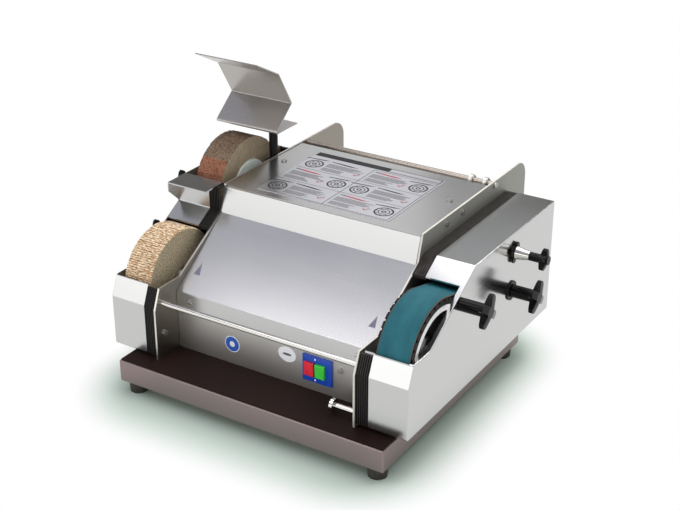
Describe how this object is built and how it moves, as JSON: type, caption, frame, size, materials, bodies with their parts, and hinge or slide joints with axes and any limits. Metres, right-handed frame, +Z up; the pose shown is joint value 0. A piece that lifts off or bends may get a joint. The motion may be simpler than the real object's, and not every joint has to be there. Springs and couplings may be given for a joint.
{
  "type": "wet belt sharpening machine",
  "caption": "Bench sharpening machine: abrasive belt in a water casing, cloth polishing wheel, flap wheel with guard, sloped steel body on rubber feet.",
  "frame": {"origin": "on the floor under the middle of the overall box", "axes": "+X to the right along the front, +Y to the back, +Z up"},
  "size_m": [0.6, 0.54, 0.449],
  "materials": {
    "stainless_sheet": "brushed stainless sheet",
    "base_steel": "brushed stainless, warm grey",
    "dark_mat": "dark brown matt",
    "black_rubber": "matt black rubber",
    "black_plastic": "black moulded plastic",
    "black_steel": "black oxide",
    "screw_steel": "bright zinc",
    "shaft_steel": "ground steel",
    "polished_rod": "polished",
    "cast_aluminium": "machined casting",
    "cast_housing": "painted casting",
    "tyre_rubber": "serrated black rubber",
    "abrasive_cloth": "teal abrasive cloth",
    "polishing_cloth": "stitched sisal cloth",
    "abrasive_flaps": "brown abrasive flaps",
    "pale_disc": "pale green moulded disc",
    "switch_blue": "blue",
    "switch_red": "red",
    "switch_green": "green",
    "printed_plate": "satin aluminium"
  },
  "bodies": {
    "frame": {"base_tray": "base_steel", "deck_mat": "dark_mat", "rubber_feet": "black_rubber", "base_screws": "screw_steel", "left_cheek": "stainless_sheet", "right_cheek": "stainless_sheet", "front_panel": "stainless_sheet", "bonnet": "stainless_sheet", "top_panel": "stainless_sheet", "instruction_plate": "printed_plate", "rear_panel": "stainless_sheet", "cable_gland": "black_plastic", "left_casing": "stainless_sheet", "right_casing": "stainless_sheet", "left_gasket": "black_rubber", "right_gasket": "black_rubber", "front_rod": "polished_rod", "rear_bar": "polished_rod", "bar_collars": "polished_rod", "body_screws": "screw_steel", "switch_plate": "switch_blue", "switch_body": "black_plastic", "shaft_bearings": "cast_housing", "shaft_seals": "black_rubber", "grinding_belt": "abrasive_cloth", "tie_studs": "screw_steel", "drive_belts": "black_rubber", "motor_body": "cast_aluminium", "guard_clamp": "black_steel"},
    "front_spindle": {"front_shaft": "shaft_steel", "contact_hub": "cast_aluminium", "contact_tyre": "tyre_rubber", "polishing_wheel": "polishing_cloth", "polishing_flanges": "shaft_steel", "shaft_nuts": "screw_steel", "front_pulley": "cast_aluminium"},
    "upper_spindle": {"upper_shaft": "shaft_steel", "flap_wheel": "abrasive_flaps", "flap_discs": "pale_disc", "flap_nut": "screw_steel", "upper_pulley": "cast_aluminium"},
    "motor_rotor": {"motor_shaft": "shaft_steel", "drive_pulley": "cast_aluminium"},
    "idler_carriage": {"idler_axle": "shaft_steel", "axle_washer": "black_steel"},
    "idler": {"idler_roller": "cast_aluminium"},
    "rear_knob": {"rear_star_knob": "black_plastic"},
    "front_knob": {"front_star_knob": "black_plastic"},
    "left_front_clamp": {"left_front_knob": "black_plastic"},
    "left_rear_clamp": {"left_rear_knob": "black_plastic"},
    "lock": {"lock_star": "black_plastic"},
    "adjuster": {"adjuster_knob": "black_plastic", "cone_sleeve": "polished_rod"},
    "stop_button": {"red_button": "switch_red"},
    "start_button": {"green_button": "switch_green"},
    "drain": {"drain_rod": "polished_rod"},
    "guard": {"guard_sheet": "stainless_sheet", "guard_post": "black_steel", "guard_arm": "stainless_sheet"},
    "guard_screw": {"guard_clamp_knob": "black_plastic"}
  },
  "joints": [
    {"name": "front_spin", "type": "hinge", "parent": "frame", "child": "front_spindle", "pos_m": [0, -0.149, 0.145], "axis": [1, 0, 0], "continuous": true},
    {"name": "upper_spin", "type": "hinge", "parent": "frame", "child": "upper_spindle", "pos_m": [0, 0.028, 0.232], "axis": [1, 0, 0], "continuous": true},
    {"name": "motor_spin", "type": "hinge", "parent": "frame", "child": "motor_rotor", "pos_m": [0, 0.02, 0.131], "axis": [1, 0, 0], "continuous": true},
    {"name": "belt_tension", "type": "slide", "parent": "frame", "child": "idler_carriage", "axis": [0, 1, 0], "range_m": [-0.012, 0]},
    {"name": "idler_spin", "type": "hinge", "parent": "idler_carriage", "child": "idler", "pos_m": [0, 0.06, 0.153], "axis": [1, 0, 0], "continuous": true},
    {"name": "rear_knob_turn", "type": "hinge", "parent": "idler_carriage", "child": "rear_knob", "pos_m": [0, 0.06, 0.153], "axis": [1, 0, 0], "continuous": true},
    {"name": "front_knob_turn", "type": "hinge", "parent": "frame", "child": "front_knob", "pos_m": [0, -0.102, 0.203], "axis": [1, 0, 0], "continuous": true},
    {"name": "left_front_turn", "type": "hinge", "parent": "frame", "child": "left_front_clamp", "pos_m": [0, -0.086, 0.176], "axis": [1, 0, 0], "continuous": true},
    {"name": "left_rear_turn", "type": "hinge", "parent": "frame", "child": "left_rear_clamp", "pos_m": [0, -0.017, 0.235], "axis": [1, 0, 0], "continuous": true},
    {"name": "lock_turn", "type": "hinge", "parent": "frame", "child": "lock", "pos_m": [0, 0.062, 0.214], "axis": [1, 0, 0], "continuous": true},
    {"name": "adjuster_turn", "type": "hinge", "parent": "frame", "child": "adjuster", "pos_m": [0, 0.062, 0.214], "axis": [1, 0, 0], "continuous": true},
    {"name": "stop_press", "type": "slide", "parent": "frame", "child": "stop_button", "axis": [0, 1, 0], "range_m": [0, 0.003], "stiffness_N_per_m": 500, "springref_m": -0.002},
    {"name": "start_press", "type": "slide", "parent": "frame", "child": "start_button", "axis": [0, 1, 0], "range_m": [0, 0.003], "stiffness_N_per_m": 500, "springref_m": -0.002},
    {"name": "drain_pull", "type": "slide", "parent": "frame", "child": "drain", "axis": [-1, 0, 0], "range_m": [0, 0.015]},
    {"name": "guard_height", "type": "slide", "parent": "frame", "child": "guard", "axis": [0, 0, 1], "range_m": [-0.01, 0.03]},
    {"name": "guard_screw_turn", "type": "hinge", "parent": "frame", "child": "guard_screw", "pos_m": [-0.185, 0.093, 0.252], "axis": [0, 1, 0], "continuous": true}
  ],
  "couplings": [
    {"joint": "upper_spin", "follows": "front_spin", "ratio": 0.79167},
    {"joint": "motor_spin", "follows": "front_spin", "ratio": 0.79167},
    {"joint": "idler_spin", "follows": "front_spin", "ratio": 3.8469}
  ]
}
